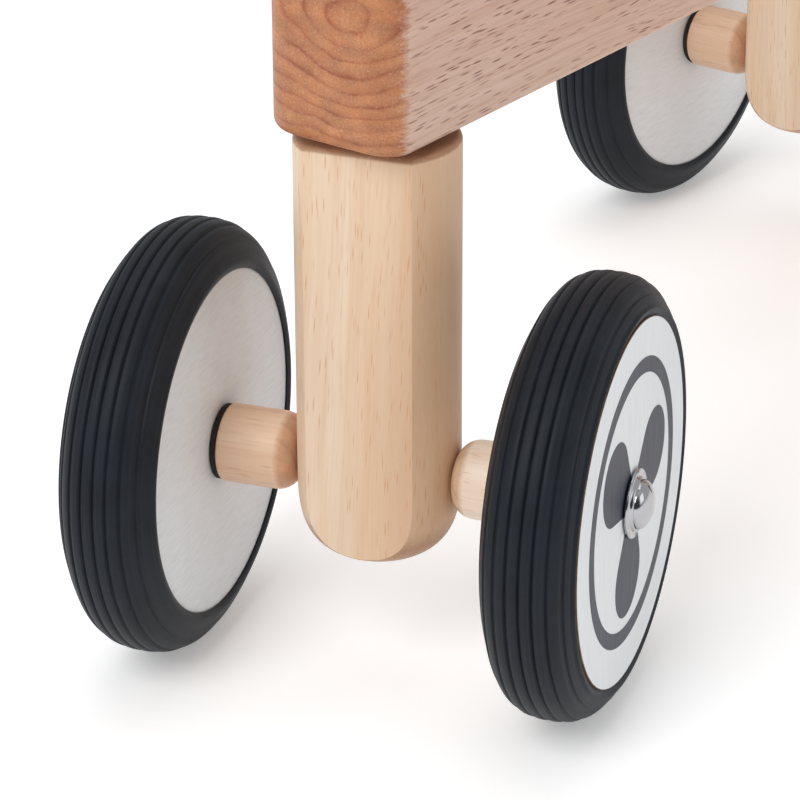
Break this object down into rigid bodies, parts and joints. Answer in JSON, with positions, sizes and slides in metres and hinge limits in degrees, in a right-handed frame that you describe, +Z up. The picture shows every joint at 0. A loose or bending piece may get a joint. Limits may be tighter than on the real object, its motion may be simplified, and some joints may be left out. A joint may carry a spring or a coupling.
{
  "type": "balance bike",
  "caption": "Wooden ride-on balance bike for toddlers with a turning front post and handlebar, small rubber-tyred disc wheels and a padded seat.",
  "frame": {"origin": "on the ground, under the middle of the outline (halfway between the front-most tread of the turned front wheels and the back of the rear tyres, midway between the rear wheels)", "axes": "+Z up, -Y forwards, +X to the rider's left. The steering unit is drawn turned 17 degrees to the left about +Z; steering at -17 degrees is straight ahead."},
  "size_m": [0.3076, 0.4996, 0.378],
  "materials": {
    "beam_wood": "oiled pinkish-brown hardwood with dark pores and wavy end grain",
    "post_wood": "satin pale rubberwood with long streaks",
    "spacer_wood": "satin turned wood",
    "turned_wood": "satin pale rubberwood",
    "disc_paint": "off-white paint on plywood, grain faintly visible",
    "disc_print": "dark grey printed ring and blades on the painted disc",
    "tyre_rubber": "matte blue-black rubber with circumferential grooves",
    "washer_rubber": "matte black",
    "grip_rubber": "matte black, ribbed",
    "nylon": "off-white nylon",
    "steel": "zinc-plated steel",
    "polished_steel": "polished steel",
    "seat_cover": "charcoal soft artificial leather over foam"
  },
  "bodies": {
    "frame": {"main_beam": "beam_wood", "rear_crosspiece": "beam_wood", "rear_leg_left": "post_wood", "rear_leg_right": "post_wood", "rear_stretcher": "spacer_wood", "seat_board": "turned_wood", "seat_pad": "seat_cover", "seat_bolts": "steel", "seat_t_nuts": "steel", "crosspiece_bolts": "steel", "barrel_nuts": "steel", "barrel_nut_plugs": "spacer_wood", "locating_dowels": "spacer_wood", "lower_steering_bush": "nylon", "upper_steering_bush": "nylon", "steering_stop_pin": "steel", "rear_axle": "steel", "rear_spacer_left": "spacer_wood", "rear_spacer_right": "spacer_wood", "rear_washer_left": "washer_rubber", "rear_washer_right": "washer_rubber", "rear_axle_cap_left": "polished_steel", "rear_axle_cap_right": "polished_steel"},
    "fork": {"front_post": "post_wood", "steering_stem": "steel", "stem_pins": "steel", "handlebar_head": "post_wood", "handlebar": "turned_wood", "handlebar_screw": "steel", "grip_left": "grip_rubber", "grip_right": "grip_rubber", "front_axle": "steel", "front_spacer_left": "spacer_wood", "front_spacer_right": "spacer_wood", "front_washer_left": "washer_rubber", "front_washer_right": "washer_rubber", "front_axle_cap_left": "polished_steel", "front_axle_cap_right": "polished_steel"},
    "wheel_front_left": {"front_left_disc": "disc_paint", "front_left_tyre": "tyre_rubber", "front_left_hub_bush": "nylon"},
    "wheel_front_right": {"front_right_disc": "disc_paint", "front_right_tyre": "tyre_rubber", "front_right_hub_bush": "nylon"},
    "wheel_rear_left": {"rear_left_disc": "disc_paint", "rear_left_tyre": "tyre_rubber", "rear_left_hub_bush": "nylon"},
    "wheel_rear_right": {"rear_right_disc": "disc_paint", "rear_right_tyre": "tyre_rubber", "rear_right_hub_bush": "nylon"}
  },
  "joints": [
    {"name": "steering", "type": "hinge", "parent": "frame", "child": "fork", "pos_m": [0, -0.17124, 0.0625], "axis": [0, 0, 1], "range_deg": [-52, 18]},
    {"name": "front_left_spin", "type": "hinge", "parent": "fork", "child": "wheel_front_left", "pos_m": [0.05776, -0.15358, 0.0625], "axis": [0.9563, 0.2924, 0], "continuous": true},
    {"name": "front_right_spin", "type": "hinge", "parent": "fork", "child": "wheel_front_right", "pos_m": [-0.05776, -0.1889, 0.0625], "axis": [0.9563, 0.2924, 0], "continuous": true},
    {"name": "rear_left_spin", "type": "hinge", "parent": "frame", "child": "wheel_rear_left", "pos_m": [0.1346, 0.18726, 0.0625], "axis": [1, 0, 0], "continuous": true},
    {"name": "rear_right_spin", "type": "hinge", "parent": "frame", "child": "wheel_rear_right", "pos_m": [-0.1346, 0.18726, 0.0625], "axis": [1, 0, 0], "continuous": true}
  ]
}
